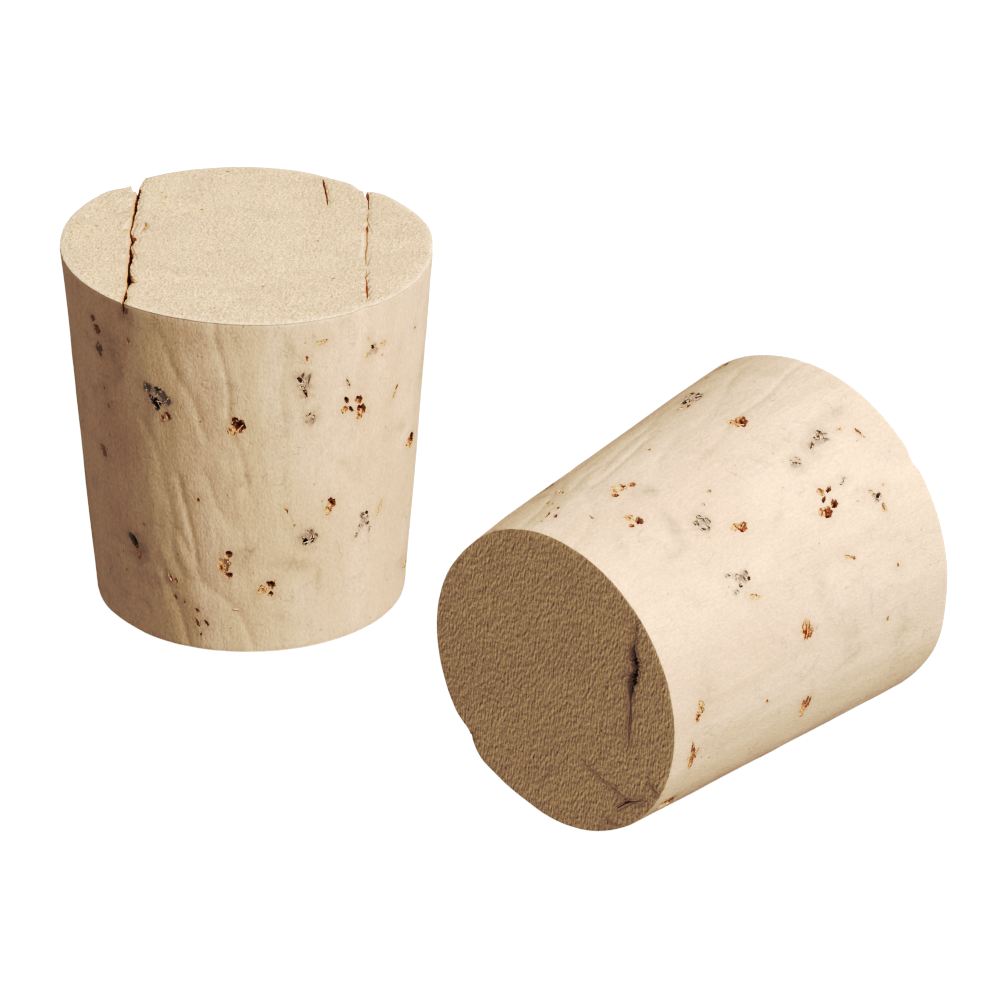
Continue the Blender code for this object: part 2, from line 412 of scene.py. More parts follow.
def skin_tree():
    graph, size = new_geometry_graph("turned_skin", SKIN_INPUTS)
    blank = graph.node("GeometryNodeMeshCylinder", {"fill_type": "TRIANGLE_FAN"}, {
        "Vertices": size["Around"], "Side Segments": size["Rows"], "Fill Segments": size["Rings"],
        "Radius": 1.0, "Depth": 1.0})
    x = graph.node("ShaderNodeSeparateXYZ", inputs={0: graph.shape("InputPosition")})
    y, z = x.output("Y"), x.output("Z")
    spread = (x * x + y * y).math("SQRT")
    even_turn = x.math("ARCTAN2", -y)
    turn = even_turn - (even_turn - radians(CROWDED_AT)).math("SINE") * CROWDING
    rise = z + 0.5
    # the outline at this height and angle
    radius = size["Small Radius"] + (size["Big Radius"] - size["Small Radius"]) * rise
    radius = radius * (1.0 + size["Oval"] * (turn * 2.0).math("COSINE"))
    for middle, half_width, depth, level, reach in WEAR:
        narrow = 2.0 / radians(half_width) ** 2
        round_it = (((turn - radians(middle)).math("COSINE") - 1.0) * narrow).math("EXPONENT")
        below = (rise - level / PATTERN_LENGTH) * size["Length"] / (reach * MM)
        radius = radius - round_it * (-(below * below)).math("EXPONENT") * (depth * MM)
    # the edge, softened as if a ball had rolled round inside it
    edge = size["Edge Radius"]
    out, high = spread * radius, rise * size["Length"]
    core_out = out.math("MINIMUM", radius - edge)
    core_high = high.math("MAXIMUM", edge).math("MINIMUM", size["Length"] - edge)
    to_side, to_end = out - core_out, high - core_high
    reach = (to_side * to_side + to_end * to_end).math("SQRT")
    sideways, endways = to_side / reach, to_end / reach
    plain_out = core_out + sideways * edge
    sine, cosine = turn.math("SINE"), turn.math("COSINE")
    plain = graph.node("ShaderNodeCombineXYZ", inputs={
        0: plain_out * sine, 1: -plain_out * cosine, 2: core_high + endways * edge})
    # soft relief, which only ever goes inwards
    crease = 0.0
    for kind in ("Crease", "Fold"):
        near = graph.node("GeometryNodeProximity", {"target_element": "EDGES"}, {
            "Geometry": graph.shape("ObjectInfo", "Geometry", Object=size[kind + "s"]),
            "Sample Position": plain}, "Distance") / size[kind + " Width"]
        crease = (-near).math("EXPONENT") * size[kind + " Depth"] + crease
    swell = noise_at(stretched(plain, 300.0, 300.0, 130.0), 1.0, 2.0, 0.8)
    ripple = noise_at(stretched(plain, 1100.0, 1100.0, 300.0), 1.0, 2.0, 0.6)
    saw = noise_at(stretched(plain, 500.0, 900.0, 500.0), 1.0, 3.0, 0.3)
    relief = crease + (swell - 0.32) * SWELL + (ripple - 0.4) * RIPPLE
    pressed = relief.math("MAXIMUM", 0.0) + CLEARANCE
    final_out = core_out + sideways * (edge - pressed * sideways * sideways)
    sunk = (saw - 0.35).math("MAXIMUM", 0.0) * SAW * endways * endways
    level = core_high + endways * (edge - sunk)
    final_x, final_y = final_out * sine, -final_out * cosine
    slope = (final_x * size["Rise X"] + final_y * size["Rise Y"]) * level / size["Length"]
    placed = graph.node("ShaderNodeCombineXYZ", inputs={0: final_x, 1: final_y, 2: level + slope})
    return end_geometry_graph(graph.node("GeometryNodeSetPosition", inputs={
        "Geometry": stored(blank, "sawn", endways * endways), "Position": placed}))


turned_skin = skin_tree()

# %% Make both skins
for cork in corks:
    cork["skin"] = grow(cork["node"] + "_skin", turned_skin, {
        "Big Radius": cork["big_r"], "Small Radius": cork["small_r"], "Length": cork["length"],
        "Oval": cork["oval"], "Rise X": cork["rise"][0], "Rise Y": cork["rise"][1],
        "Edge Radius": 0.20 * MM, "Around": 330, "Rows": 92, "Rings": 20,
        "Crease Depth": 0.060 * MM, "Crease Width": 0.27 * MM, "Creases": cork["creases"],
        "Fold Depth": 0.090 * MM, "Fold Width": 0.15 * MM, "Folds": cork["folds"]})
    print(cork["node"], "skin has", len(cork["skin"].polygons), "faces")

# %% [markdown]
# ## The pores
#
# A pore is a channel that the living bark breathed through. The channels all run straight through the
# cork, so on its front and back they show as round or star-shaped holes, and on its flanks as long slots.
# Some are dark inside with pale torn fibres round them, some are lined with red-brown powder, and some
# are full to the brim with it and are only tan spots.
#
# Each pore is a lumpy blob with smaller ones sprouting from its edge, all cut out of the skin. A bump in
# the material would be quicker, but it leaves no dark hollow and is gone from the outline. A blob that is
# repeated with its own size and turn is what instances are for: a few are made once, and every pore and
# sprout picks one.

# %% Where the pores are
# angle, height, width, tall, depth, slant in degrees, how rusty it is (0 grey to 1 tan), how crumbly
PORES = [
    (-53.5, 20.2, 0.4, 0.4, 0.4, -28, 0.35, 0.2), (-51.5, 19.6, 0.55, 0.55, 0.55, -28, 0.35, 0.2),
    (-51, 18.4, 0.55, 0.85, 0.4, -8, 0.25, 0.4), (-37, 19.8, 0.22, 0.4, 0.12, 0, 0.55, 0),
    (-37.8, 21.7, 0.55, 0.45, 0.45, 20, 0.3, 0.2), (-28.3, 16.2, 0.5, 0.95, 1.3, -25, 0, 0.3),
    (-27, 17.1, 0.5, 0.32, 0.9, 10, 0, 0.3), (-30.8, 17.1, 0.55, 0.6, 0.25, -30, 0.05, 1),
    (-26, 16.6, 1.1, 1, 0.22, -30, 0.02, 1), (-24, 15.5, 0.4, 0.6, 0.35, -30, 0.4, 0.5),
    (-25.9, 15.3, 0.18, 0.45, 0.25, -30, 0.4, 0.5), (-50.5, 15.9, 0.22, 0.22, 0.12, 0, 0.5, 0),
    (-49, 14.8, 0.25, 0.28, 0.12, 0, 0.5, 0), (-1.4, 15.3, 0.85, 0.95, 0.8, -20, 0.33, 0.4),
    (-3, 14.9, 0.55, 0.5, 0.22, -20, 0.7, 0.3), (-54.5, 11.5, 0.45, 0.75, 0.35, -28, 0.45, 0.2),
    (-15, 10.2, 0.2, 0.24, 0.3, 0, 0.4, 0), (14.2, 9.5, 0.22, 0.42, 0.15, -10, 0.85, 0),
    (16.8, 8.5, 0.22, 0.32, 0.08, 10, 0.85, 0), (20.9, 7.2, 0.36, 0.38, 1.1, 0, 0.02, 0),
    (23.4, 7.3, 0.3, 0.5, 1, 20, 0.02, 0), (21.8, 7.6, 0.95, 0.95, 0.2, 0, 0, 1),
    (30.2, 9.5, 0.55, 0.75, 0.6, 10, 0.33, 0.2), (29.2, 9.1, 0.45, 0.6, 0.25, 25, 0.65, 0.3),
    (45.5, 8, 0.26, 0.3, 0.8, 0, 0.05, 0), (46.3, 7.3, 0.24, 0.28, 0.8, 0, 0.05, 0),
    (44.6, 7.6, 0.75, 0.8, 0.26, 0, 0, 1), (41.5, 6.9, 0.26, 0.45, 0.16, 35, 0.1, 1),
    (47.5, 6.8, 0.22, 0.4, 0.16, -30, 0.1, 1), (52, 7.8, 0.55, 0.9, 0.2, 38, 0.8, 0.2),
    (71.5, 10.9, 1.8, 0.7, 0.4, 4, 0.5, 0.3), (-42, 6.3, 0.5, 0.8, 1.1, -38, 0.12, 0),
    (-40.3, 5.7, 0.6, 1, 0.14, -36, 0.4, 0.3), (-5.3, 6.7, 0.48, 0.42, 0.6, -20, 0.34, 0.1),
    (-6.8, 6, 0.7, 1.1, 0.24, 10, 0.8, 0.6), (-8.2, 5.7, 0.24, 0.5, 0.35, 10, 0.42, 0.2),
    (-5.4, 5.3, 0.5, 0.38, 0.6, -20, 0.34, 0.1), (8.7, 4.6, 0.5, 0.6, 0.75, -25, 0.3, 0.2),
    (9, 4, 0.3, 0.4, 0.6, 0, 0.3, 0), (6, 4.3, 0.45, 0.6, 0.18, 30, 0.45, 1),
    (-27, 4.6, 0.16, 0.6, 0.3, -28, 0.35, 0.3), (-24.8, 4.5, 0.14, 0.36, 0.22, -35, 0.35, 0),
    (-25.5, 3.3, 0.18, 0.32, 0.3, -20, 0.35, 0), (-22, 3.1, 0.14, 0.16, 0.2, 0, 0.3, 0),
    (-17.2, 2.7, 0.22, 0.34, 0.3, -20, 0.25, 0.6), (-17.5, 1.9, 0.14, 0.7, 0.3, -25, 0.35, 0),
    (-14, 1.9, 0.2, 0.44, 0.35, -30, 0.25, 0), (-16.3, 1.1, 0.14, 0.2, 0.2, 0, 0.35, 0),
    (-3, 2.9, 0.18, 0.18, 0.2, 0, 0.25, 0.3), (56.3, 15.1, 0.3, 0.9, 0.2, 42, 0.8, 0.2),
    (57.5, 15.5, 0.2, 0.4, 0.35, 42, 0.42, 0), (25, 20.3, 0.85, 0.38, 0.14, 0, 0.85, 0.1),
    (20.3, 19.4, 0.18, 0.45, 0.15, 0, 0.35, 0.2), (18.2, 18, 0.28, 0.55, 0.6, -35, 0.1, 0.3),
    (19.9, 17.2, 0.16, 0.8, 0.5, -25, 0.1, 0.3), (19.2, 17.8, 0.7, 1.5, 0.14, -30, 0.02, 1),
    (21.2, 15.7, 0.4, 0.14, 0.4, -25, 0.15, 0.3), (22, 15.3, 0.6, 0.6, 0.12, 0, 0.05, 1),
    (34, 15.5, 0.6, 0.45, 0.35, 0, 0.45, 0.3), (34.6, 16.1, 0.3, 0.55, 0.7, -20, 0.25, 0.2),
    (34.9, 17.2, 0.14, 0.8, 0.25, -20, 0.1, 0.8), (36.5, 15.4, 0.22, 0.48, 0.6, -25, 0.2, 0),
    (39.4, 15.9, 0.44, 0.6, 0.7, -20, 0.3, 0.2), (40.6, 15.2, 0.56, 0.8, 0.75, -25, 0.32, 0.2),
    (39.8, 14.8, 0.6, 0.45, 0.3, 20, 0.62, 0.5), (42.5, 19.6, 0.18, 0.35, 0.12, -25, 0.45, 0.2),
    (44.2, 19, 0.26, 0.4, 1.2, -35, 0.12, 0), (44.4, 18.9, 0.6, 0.6, 0.15, -35, 0.1, 1),
    (42, 18.6, 0.3, 0.35, 0.14, 0, 0.85, 0.3), (48.6, 18.9, 0.6, 0.45, 0.18, 0, 0.75, 0.3),
    (78.5, 2.2, 1, 0.5, 0.22, 0, 0.7, 0.8), (81.5, 1.9, 0.7, 0.35, 0.4, 0, 0.38, 0.4),
    (98, 1.7, 2.4, 0.42, 0.5, 4, 0.33, 0.3), (104, 11.2, 2.6, 0.6, 0.45, -6, 0.45, 0.3),
    (84, 17.4, 0.35, 0.24, 0.15, 0, 0.45, 0), (90.5, 7.5, 0.3, 0.2, 0.15, 0, 0.45, 0),
    (67.5, 18.6, 0.3, 0.22, 0.15, 0, 0.5, 0),
]
print(len(PORES), "pores placed by hand")

# %% Pores on the back are strewn by chance, and every pore sprouts
FLANK_STARTS = 60.0
BIG_BLOBS, SMALL_BLOBS = 8, 8
SPROUTS, SPROUTING_SIZE = 4, 0.34
MOUTH_SINKS = 0.06
SHALLOWNESS = 0.55
# rusty pores are compact ovals, grey ones are torn
RUSTY_FROM = 0.2


def strewn_pores(seed, count):
    """Pores over the back, which keep clear of both flanks."""
    dice = random.Random(seed)
    strewn = []
    for _ in range(count):
        angle = dice.choice([dice.uniform(122.0, 178.0), dice.uniform(-178.0, -118.0)])
        size = dice.choice([0.3, 0.35, 0.5, 0.7, 0.9, 1.1])
        strewn.append((
            angle, dice.uniform(1.5, 20.5), size * dice.uniform(0.8, 1.1), size * dice.uniform(0.8, 1.3),
            size * dice.uniform(0.5, 1.6), dice.uniform(-35.0, 35.0),
            dice.choice([0.1, 0.3, 0.38, 0.5, 0.85]), dice.uniform(0.0, 1.0)))
    return strewn


def turned(across, above, tilt):
    """A step on the side, turned by an angle."""
    return across * cos(tilt) + above * sin(tilt), above * cos(tilt) - across * sin(tilt)


def with_sprouts(pores, seed):
    """Every pore, followed by the smaller hollows that sprout from its edge, each with its blob shape."""
    dice = random.Random(seed)
    for pore in pores:
        angle, height, wide, tall, depth, slant, rusty, crumbly = pore
        ragged = 0 if rusty > RUSTY_FROM else 1
        yield pore, 2 * dice.randrange(BIG_BLOBS // 2) + ragged
        for _ in range(SPROUTS if min(wide, tall) > SPROUTING_SIZE else 1):
            way, share = dice.uniform(0.0, 2 * pi), dice.uniform(0.30, 0.60)
            off = dice.uniform(0.30, 0.52) if ragged else dice.uniform(0.22, 0.42)
            across, above = turned(off * wide * cos(way), off * tall * sin(way), radians(slant))
            sprout = (angle + degrees(across / PATTERN_R), height + above, wide * share, tall * share,
                      depth * dice.uniform(0.4, 1.0), slant + dice.uniform(-50.0, 50.0),
                      max(0.0, rusty + dice.uniform(-0.12, 0.12)), crumbly)
            yield sprout, BIG_BLOBS + 2 * dice.randrange(SMALL_BLOBS // 2) + ragged


def pore_points(cork, pores, seed):
    """One vertex for each hollow's mouth, carrying what its blob needs to know."""
    grown = cork["big_r"] / (PATTERN_R * MM)
    mouths, reach, lie, shape, rust, crumbs = [], [], [], [], [], []
    for (angle, height, wide, tall, depth, slant, rusty, crumbly), blob in with_sprouts(pores, seed):
        mouths.append(on_side(cork, angle, height, out=-MOUTH_SINKS * MM))
        flank = FLANK_STARTS < abs(angle) < 180.0 - FLANK_STARTS
        depth = depth * SHALLOWNESS
        half = (depth, wide / 2, tall / 2) if flank else (wide / 2, depth, tall / 2)
        reach.append([value * grown * MM for value in half])
        tilt = radians(slant)
        lie.append((tilt, 0.0, 0.0) if flank else (0.0, tilt, radians(angle) * 0.5))
        shape.append(blob)
        rust.append(rusty)
        crumbs.append(crumbly)
    name = cork["node"] + "_pores"
    print(name, "has", len(mouths), "hollows")
    mesh = bare_points(name, mouths, reach=reach, lie=lie, shape=shape, rust=rust, crumbs=crumbs)
    return show(name, mesh)


standing["pores"] = pore_points(standing, PORES + strewn_pores(5, 26), seed=1)
lying["pores"] = pore_points(lying, PORES + strewn_pores(8, 26), seed=1)

# %% [markdown]
# ## The cracks
#
# Both ends have thin dark cracks, where a pore channel lies in the plane of the cut. They waver a little,
# and open and close along their length. The deep split up the back is one that the rim has broken into.
#
# Each is a thin blade swept along its own smooth path, with a ragged lip on either side, and it is then
# cut out. The blade is wedge-shaped, because a crack closes as it goes down.

# %% Where the cracks are
# depth, rust, how far the left edge has crumbled, then points: x, y and how wide the crack gapes there
BIG_END_CRACKS = [
    (1, 0.33, 0.12, [
        (-6.6, 7.2, 0.26), (-6.62, 6.4, 0.24), (-6.66, 5.5, 0.2), (-6.66, 4.7, 0.14),
        (-6.64, 4.1, 0.26), (-6.7, 3.5, 0.18), (-6.72, 2.6, 0.1), (-6.74, 1.9, 0.12),
        (-6.78, 1.1, 0.05), (-6.7, 0.5, 0.14), (-6.56, 0.1, 0.32), (-6.6, -0.4, 0.28),
        (-6.68, -0.9, 0.06), (-6.66, -1.5, 0.16), (-6.58, -2.1, 0.3), (-6.6, -2.9, 0.28),
        (-6.62, -3.4, 0.16), (-6.62, -4, 0.14), (-6.58, -4.7, 0.2), (-6.5, -5.4, 0.4),
        (-6.44, -5.8, 0.44), (-6.54, -6.3, 0.14), (-6.6, -6.9, 0.04), (-6.62, -7.4, 0.16),
        (-6.64, -7.9, 0.22), (-6.72, -8.4, 0.14), (-6.78, -9.3, 0.16)]),
    (0.6, 0.38, 0.03, [
        (6.66, 8.3, 0.08), (6.72, 7.8, 0.26), (6.86, 7.2, 0.24), (6.96, 6.6, 0.1), (6.98, 5.9, 0.05),
        (7, 5.2, 0.04)]),
    (0.3, 0.5, 0.03, [
        (7, 5, 0.03), (6.96, 4, 0.06), (7.02, 3.2, 0.04), (6.94, 2.7, 0.18), (6.98, 2.1, 0.14),
        (6.96, 1.3, 0.04), (7, 0.3, 0.07), (6.94, -0.7, 0.04), (6.98, -1.7, 0.06), (7, -2.6, 0.04)]),
    (0.3, 0.45, 0.03, [
        (7.04, -3.2, 0.03), (7.02, -4.2, 0.06), (7.08, -5, 0.06), (7.1, -5.7, 0.2), (7.14, -6.3, 0.14),
        (7.16, -7.2, 0.05)]),
    (0.5, 0.4, 0.03, [
        (4.2, 9.4, 0.06), (4.3, 8.6, 0.14), (4.42, 7.6, 0.11), (4.52, 6.6, 0.12), (4.58, 5.7, 0.05)]),
    (0.2, 0.8, 0.05, [(-7.5, 3.75, 0.08), (-7.15, 3.85, 0.34), (-6.85, 3.8, 0.2)]),
    (0.2, 0.6, 0.02, [(-6.05, 2.5, 0.06), (-5.95, 2.2, 0.2), (-6.1, 1.5, 0.14), (-6.2, 1.2, 0.05)]),
    (0.15, 0.6, 0.02, [(0.2, -7.9, 0.05), (0.5, -7.8, 0.14), (0.8, -7.75, 0.05)]),
]
SMALL_END_CRACKS = [
    (1.3, 0.22, 0.04, [
        (5.69, -7.07, 0.03), (5.67, -5.75, 0.05), (5.62, -5.05, 0.3), (5.79, -4.45, 0.66),
        (5.88, -3.79, 0.56), (5.7, -3.05, 0.68), (5.66, -2.4, 0.42), (5.72, -1.6, 0.1),
        (5.77, -0.72, 0.08), (5.77, 0, 0.06), (5.9, 1.39, 0.04)]),
    (0.5, 0.35, 0.04, [
        (2.68, 4.37, 0.05), (4.29, 4.84, 0.08), (5.02, 4.98, 0.12), (5.75, 5.26, 0.16),
        (6.1, 5.19, 0.28), (6.45, 5.3, 0.06)]),
    (0.5, 0.35, 0.04, [
        (5.41, 6.2, 0.05), (5.8, 5.75, 0.1), (6.15, 5.35, 0.2), (6.8, 4.95, 0.09), (7.53, 4.47, 0.04)]),
    (0.4, 0.45, 0.04, [(7.63, 3.24, 0.06), (7.95, 3.5, 0.16), (8.25, 3.74, 0.06)]),
    (0.25, 0.7, 0.04, [(4.75, 7.4, 0.1), (5.1, 7.48, 0.36), (5.5, 7.42, 0.1)]),
]
# the split up the back: height, how deep it goes, how wide it gapes
SPLIT = [
    (23.4, 2, 1), (22.3, 1.8, 0.85), (21.2, 1.3, 0.55), (19.5, 1, 0.4), (15, 0.9, 0.4), (10, 0.8, 0.45),
    (4, 0.6, 0.35), (1, 0.5, 0.25), (-1, 0.5, 0.25),
]
SPLIT_ANGLE = -141.8
print(len(BIG_END_CRACKS), "cracks in the big end,", len(SMALL_END_CRACKS), "in the small end")

# %% Sweep the blades
BLADE_STEP = 0.11
LIP_RAGGED, SPLIT_RAGGED = 0.45, 0.15
# how deep, how wide the blade is there, and how much of the crumbled lip is left
BLADE_LEVELS = [(-0.25, 1.05, 1.25), (0.0, 1.0, 1.0), (0.12, 0.9, 0.35), (0.35, 0.75, 0.0),
                (0.7, 0.45, 0.0), (1.0, 0.08, 0.0)]
SPLIT_LEVELS = [(-0.5, 1.4), (0.0, 1.0), (0.5, 0.65), (1.0, 0.3)]


def solid_from_rings(name, rings):
    """A closed solid through rings of points that all have the same count."""
    shape = bmesh.new()
    loops = [[shape.verts.new(point) for point in ring] for ring in rings]
    for one, two in zip(loops, loops[1:]):
        for i in range(len(one)):
            j = (i + 1) % len(one)
            shape.faces.new((one[i], one[j], two[j], two[i]))
    shape.faces.new(list(reversed(loops[0])))
    shape.faces.new(loops[-1])
    bmesh.ops.triangulate(shape, faces=[face for face in shape.faces if len(face.verts) > 4])
    bmesh.ops.recalc_face_normals(shape, faces=shape.faces)
    mesh = bpy.data.meshes.new(name)
    shape.to_mesh(mesh)
    shape.free()
    return mesh


def crack_rings(cork, crack, base, down, slope, dice):
    """Rings of points round a crack's blade, from its path. The base is the height of the end it is in."""
    crack_depth, _, lip_width, points = crack
    grown = cork["big_r"] / PATTERN_R
    path = smooth_path(points, BLADE_STEP)
    for i, (x, y, gape) in enumerate(path):
        gape = max(gape, 0.03) * (0.3 if i in (0, len(path) - 1) else 1.0)
        left = gape / 2 * (1.0 + dice.uniform(-LIP_RAGGED, LIP_RAGGED))
        right = gape / 2 * (1.0 + dice.uniform(-LIP_RAGGED, LIP_RAGGED))
        deep = crack_depth * min(1.0, 0.35 + gape / 0.3) * MM
        lean = dice.uniform(-0.03, 0.03)
        lip = lip_width * dice.uniform(0.5, 1.3)
        surface = base + (x * cork["rise"][0] + y * cork["rise"][1]) * grown * slope
        one = [((x - left * wide - lip * crumbled + lean * share) * grown, y * grown,
                surface + down * deep * share) for share, wide, crumbled in BLADE_LEVELS]
        two = [((x + right * wide + lean * share) * grown, y * grown,
                surface + down * deep * share) for share, wide, _ in reversed(BLADE_LEVELS)]
        yield one + two


def split_rings(cork, dice):
    """Rings of points round the split's blade, which runs in along Y, as the pores do."""
    grown = cork["big_r"] / PATTERN_R

    def ragged():
        return 1.0 + dice.uniform(-SPLIT_RAGGED, SPLIT_RAGGED)

    for height, deep, gape in smooth_path(SPLIT, 0.3):
        x, y, z = on_side(cork, SPLIT_ANGLE, height)
        one = [(x - wide * gape / 2 * ragged() * grown, y - share * deep * grown, z)
               for share, wide in SPLIT_LEVELS]
        two = [(x + wide * gape / 2 * ragged() * grown, y - share * deep * grown, z)
               for share, wide in reversed(SPLIT_LEVELS)]
        yield one + two


def blade_collection(cork):
    """Every blade of a cork, as the cutting tree takes them."""
    blades = []
    ends = (("big", BIG_END_CRACKS, cork["length"], -1.0, 1), ("small", SMALL_END_CRACKS, 0.0, 1.0, 0))
    for end, cracks, base, down, slope in ends:
        for number, crack in enumerate(cracks):
            rings = list(crack_rings(cork, crack, base, down, slope, random.Random(number)))
            blades.append((f"{end}_{number}", rings, crack[1], float(slope)))
    blades.append(("split", list(split_rings(cork, random.Random(4))), 0.55, 0.2))
    collection = bpy.data.collections.new(cork["node"] + "_blades")
    scene.collection.children.link(collection)
    for name, rings, rust, crumbs in blades:
        mesh = solid_from_rings(name, rings)
        count = len(mesh.vertices)
        written(mesh, rust=np.full(count, rust), crumbs=np.full(count, crumbs))
        collection.objects.link(bpy.data.objects.new(name, mesh))
    print(cork["node"], "has", len(blades), "blades")
    return collection


for cork in corks:
    cork["blades"] = blade_collection(cork)

# %% [markdown]
# ## Cutting, and what the finish needs to know
#
# Now the blobs and blades are cut out of the skin. The Manifold solver does it in a second or so, where
# the Exact one takes half a minute, and it only asks that every solid is closed.
#
# A finish of bark has to know where it is. So the tree leaves four numbers on every point: how deep it
# lies under the skin, how far it is from the nearest hollow, and how rusty and how crumbly that hollow
# is. It also keeps the place in the upright cork, so that the pattern sticks to the cork as it is laid
# down.

# %% The cutting tree
CUT_INPUTS = {"Pores": "Object", "Blades": "Collection", "Raggedness": "Float", "Finish": "Material"}


def blob_shapes(graph, ragged):
    """Unit blobs, each lumpy in its own way, to pick from. Odd ones are ragged, even ones smoother."""
    shapes = []
    for number in range(BIG_BLOBS + SMALL_BLOBS):
        lumpy_by = ragged * (1.0 if number % 2 else 0.55)
        ball = graph.shape("MeshIcoSphere", Radius=1.0, Subdivisions=3)
        spot = graph.shape("InputPosition")
        lumps = noise_at(spot, 1.4, 2.0, 0.4, seed=number * 3.7)
        grit = noise_at(spot, 4.2, 2.0, 0.3, seed=number * 5.1)
        place = scaled(spot, 1.0 + (lumps - 0.5) * lumpy_by + (grit - 0.5) * lumpy_by * 0.9)
        lumpy = graph.shape("SetPosition", Geometry=ball, Position=place)
        shapes.append(graph.shape("GeometryToInstance", Geometry=[lumpy]))
    return graph.shape("JoinGeometry", Geometry=shapes)


def distance_to(geometry):
    """How far every point is from the faces of something, in mm."""
    return geometry.graph.node("GeometryNodeProximity", {"target_element": "FACES"}, {
        "Geometry": geometry}, "Distance") / MM


def cutting_tree():
    graph, given = new_geometry_graph("cut_flaws", CUT_INPUTS)
    blobs = graph.node("GeometryNodeInstanceOnPoints", {}, {
        "Points": graph.shape("ObjectInfo", "Geometry", Object=given["Pores"]),
        "Instance": blob_shapes(graph, given["Raggedness"]), "Pick Instance": True,
        "Instance Index": named(graph, "shape", "INT"), "Rotation": named(graph, "lie", "FLOAT_VECTOR"),
        "Scale": named(graph, "reach", "FLOAT_VECTOR")})
    blades = graph.node("GeometryNodeCollectionInfo", {}, {
        "Collection": given["Blades"], "Separate Children": True})
    cutters = graph.node("GeometryNodeJoinGeometry", {}, {"Geometry": [blobs, blades]})
    solid_cutters = graph.shape("RealizeInstances", Geometry=cutters)
    cork = graph.node("GeometryNodeMeshBoolean", {"operation": "DIFFERENCE", "solver": "MANIFOLD"}, {
        "Mesh 1": given["Geometry"], "Mesh 2": cutters})
    cork = stored(cork, "bark", bark_place(graph), "FLOAT_VECTOR")
    cork = stored(cork, "deep", distance_to(given["Geometry"]))
    cork = stored(cork, "near", distance_to(solid_cutters))
    for name in ("rust", "crumbs"):
        cork = stored(cork, name, graph.node("GeometryNodeSampleNearestSurface", {"data_type": "FLOAT"}, {
            "Mesh": solid_cutters, "Value": named(graph, name)}))
    whole = graph.shape("RealizeInstances", Geometry=cork)
    return end_geometry_graph(graph.shape("SetMaterial", Geometry=whole, Material=given["Finish"]))


cut_flaws = cutting_tree()

# %% [markdown]
# ## Stains
#
# Round some pores the bark is grey or brown, and here and there it carries a faint smudge of its own.
# These have no shape to cut, so they are painted: each is a soft oval, and every point keeps how strongly
# it is stained. The finish breaks up their outlines later.

# %% Where the stains are
# angle, height, half width, half height, slant in degrees, strength
STAINS = [
    (-44, 18.8, 0.9, 1.1, -15, 0.34), (-42.5, 17.6, 0.5, 0.7, 0, 0.35), (-40, 5.9, 0.9, 1.1, -35, 0.6),
    (-37.5, 21.2, 0.6, 0.5, 0, 0.5), (-34, 4.2, 1.6, 0.5, 0, 0.35), (-29, 5.6, 0.7, 1.2, -30, 0.25),
    (20, 17.4, 0.8, 1.4, -30, 0.45), (23, 15.5, 0.6, 0.5, 0, 0.6), (21, 7.4, 0.8, 0.8, 0, 0.35),
    (17, 5.9, 1.5, 0.5, 10, 0.4), (22, 5.6, 1, 0.4, 0, 0.35), (26, 4.8, 0.3, 1.2, 0, 0.3),
    (12.5, 2.4, 1.2, 0.4, 30, 0.25), (1.5, 6.9, 0.6, 0.5, -30, 0.6), (-1, 6.2, 0.8, 0.5, 25, 0.3),
    (15, 20, 0.5, 1.2, 0, 0.35), (13, 15, 0.4, 2.2, 5, 0.3), (-10, 20.5, 1.6, 0.9, 0, 0.25),
    (-6, 17, 1.2, 2.2, 10, 0.2), (72, 3, 2, 0.7, 0, 0.3), (84, 14.5, 2.2, 0.9, 0, 0.35),
    (92, 18.8, 2.5, 0.7, 0, 0.3), (62, 12.6, 1.6, 0.5, 0, 0.3), (1.5, 12, 0.35, 0.3, 0, 0.45),
    (-0.5, 11.4, 0.7, 0.22, -30, 0.28), (34, 11.9, 0.35, 0.9, -35, 0.22),
]


def paint_stains(cork, mesh):
    count = len(mesh.vertices)
    place = np.zeros(count * 3)
    mesh.vertices.foreach_get("co", place)
    x, y, z = place.reshape(-1, 3).T
    angle = np.degrees(np.arctan2(x, -y))
    height = z / cork["length"] / cork["squeeze"] * PATTERN_LENGTH
    strength = np.zeros(count)
    for middle, up, wide, tall, slant, strong in STAINS:
        across = np.radians((angle - middle + 180.0) % 360.0 - 180.0) * PATTERN_R
        one, two = turned(across, height - up, -radians(slant))
        strength = np.maximum(strength, strong * np.exp(-((one / wide) ** 2 + (two / tall) ** 2)))
    written(mesh, stain=strength)
    print(cork["node"], "stained points:", int((strength > 0.1).sum()), "of", count)


# %% [markdown]
# ## The finish
#
# Sanded cork is matt and cream. Three things have to be told apart: the side, which is smooth with fine
# upright streaks; the sawn ends, which are sandy and show the bark's yearly bands; and the inside of the
# pores and cracks, from orange at the lip through red-brown to nearly black, the darkest part partly
# painted shade.
#
# A scanned picture would be quick, but it would have a seam and a fixed size. All of it is made from
# noise on the cork's own place instead, so it runs on from the side onto the ends.

# %% Colours and small shader helpers
CREAM, WARM_CREAM, ROSY_GREY = (0.72, 0.535, 0.385), (0.66, 0.481, 0.338), (0.60, 0.443, 0.340)
SAND, DARK_SAND, PALE_SAND = (0.74, 0.550, 0.365), (0.54, 0.375, 0.225), (0.84, 0.70, 0.53)
ROUGH_SAWN, STAIN_GREY, SPECK = (0.50, 0.350, 0.270), (0.39, 0.285, 0.205), (0.32, 0.18, 0.09)
